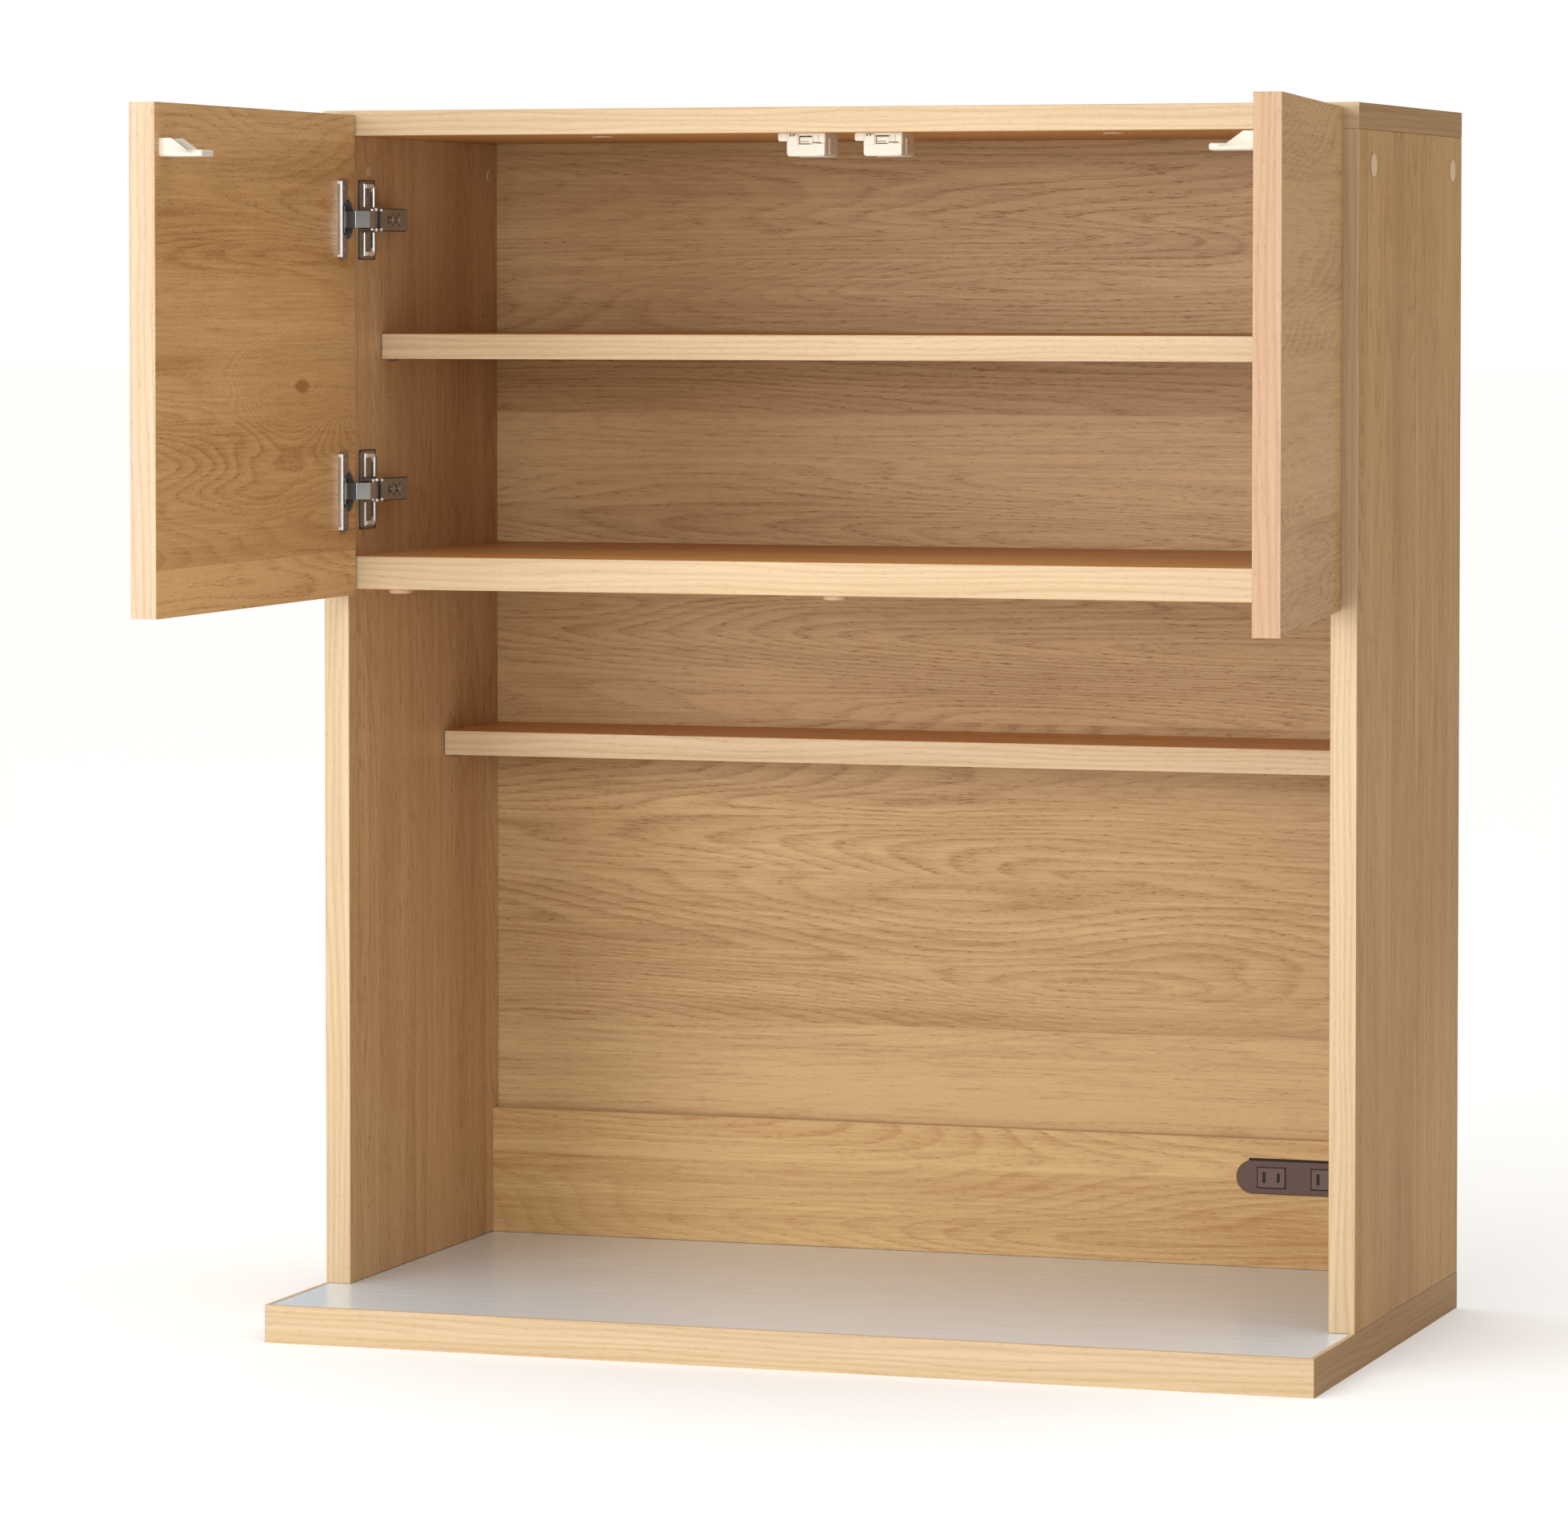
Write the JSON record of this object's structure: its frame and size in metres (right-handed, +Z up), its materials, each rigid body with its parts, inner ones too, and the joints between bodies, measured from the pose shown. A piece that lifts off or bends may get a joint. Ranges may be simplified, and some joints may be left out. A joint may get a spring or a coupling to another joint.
{
  "type": "wall cabinet",
  "caption": "Oak kitchen top unit with two hinged doors over adjustable shelves, and an open niche with a power outlet above a steel-topped counter.",
  "frame": {"origin": "middle of the counter's underside, in the plane of the carcass's front edges", "axes": "+Z up, -Y to the front, +X to the right seen from the front"},
  "size_m": [0.9513, 0.8224, 1.029],
  "materials": {
    "oak_sides": "satin",
    "oak_back": "satin",
    "oak_doors": "satin",
    "oak_shelves": "satin",
    "oak_edging": "satin",
    "board_core": "matte",
    "brushed_steel_top": "brushed along the width",
    "nickel_hinge": "polished",
    "zinc_screw": "satin",
    "white_plastic": "satin",
    "oak_caps": "matte",
    "brown_plastic": "matte",
    "contact_brass": "plain"
  },
  "bodies": {
    "cabinet": {"arm_pins_left": "nickel_hinge", "arm_pins_right": "nickel_hinge", "arm_screws_left": "nickel_hinge", "arm_screws_right": "nickel_hinge", "back_panel": "oak_back", "back_rails": "board_core", "compartment_floor": "oak_shelves", "counter_core": "board_core", "counter_edging": "oak_edging", "counter_steel_sheet": "brushed_steel_top", "dowels": "board_core", "floor_caps": "oak_caps", "hinge_arms_left": "nickel_hinge", "hinge_arms_right": "nickel_hinge", "latch_body_left": "white_plastic", "latch_body_right": "white_plastic", "latch_pin_left": "zinc_screw", "latch_pin_right": "zinc_screw", "latch_screws": "zinc_screw", "mounting_plates_left": "nickel_hinge", "mounting_plates_right": "nickel_hinge", "outlet_contacts": "contact_brass", "outlet_cover": "brown_plastic", "outlet_gland": "brown_plastic", "outlet_housing": "brown_plastic", "outlet_sockets": "brown_plastic", "plate_screws_left": "nickel_hinge", "plate_screws_right": "nickel_hinge", "service_board": "oak_back", "shelf_lower": "oak_shelves", "shelf_pins_lower": "nickel_hinge", "shelf_pins_upper": "nickel_hinge", "shelf_upper": "oak_shelves", "side_caps_inner": "oak_caps", "side_caps_outer": "oak_caps", "side_panel_left": "oak_sides", "side_panel_right": "oak_sides", "top_caps": "oak_caps", "top_panel": "oak_shelves"},
    "left_link": {"hinge_links_left": "nickel_hinge"},
    "right_link": {"hinge_links_right": "nickel_hinge"},
    "left_door": {"door_left": "oak_doors", "hinge_cups_left": "nickel_hinge", "cup_screws_left": "nickel_hinge", "cup_pins_left": "nickel_hinge", "strike_left": "white_plastic", "strike_screws_left": "zinc_screw"},
    "right_door": {"door_right": "oak_doors", "hinge_cups_right": "nickel_hinge", "cup_screws_right": "nickel_hinge", "cup_pins_right": "nickel_hinge", "strike_right": "white_plastic", "strike_screws_right": "zinc_screw"},
    "left_lever": {"latch_lever_left": "white_plastic"},
    "right_lever": {"latch_lever_right": "white_plastic"}
  },
  "joints": [
    {"name": "left_link_swing", "type": "hinge", "parent": "cabinet", "child": "left_link", "pos_m": [-0.414, 0.0225, 0.82225], "axis": [0, 0, 1], "range_deg": [-21.64, 3.12]},
    {"name": "left_door_swing", "type": "hinge", "parent": "left_link", "child": "left_door", "pos_m": [-0.4247, -0.01563, 0.82225], "axis": [0, 0, -1], "range_deg": [-109.93, 15.81]},
    {"name": "right_link_swing", "type": "hinge", "parent": "cabinet", "child": "right_link", "pos_m": [0.414, 0.0225, 0.82225], "axis": [0, 0, -1], "range_deg": [-24.04, 0.72]},
    {"name": "right_door_swing", "type": "hinge", "parent": "right_link", "child": "right_door", "pos_m": [0.42309, -0.01604, 0.82225], "axis": [0, 0, 1], "range_deg": [-122.13, 3.61]},
    {"name": "left_lever_swing", "type": "hinge", "parent": "cabinet", "child": "left_lever", "pos_m": [-0.026, 0.0395, 0.9997], "axis": [1, 0, 0], "range_deg": [0, 14]},
    {"name": "right_lever_swing", "type": "hinge", "parent": "cabinet", "child": "right_lever", "pos_m": [0.041, 0.0395, 0.9997], "axis": [1, 0, 0], "range_deg": [0, 14]}
  ],
  "couplings": [
    {"joint": "left_link_swing", "follows": "left_door_swing", "ratio": 0.19679},
    {"joint": "right_link_swing", "follows": "right_door_swing", "ratio": 0.19679}
  ]
}
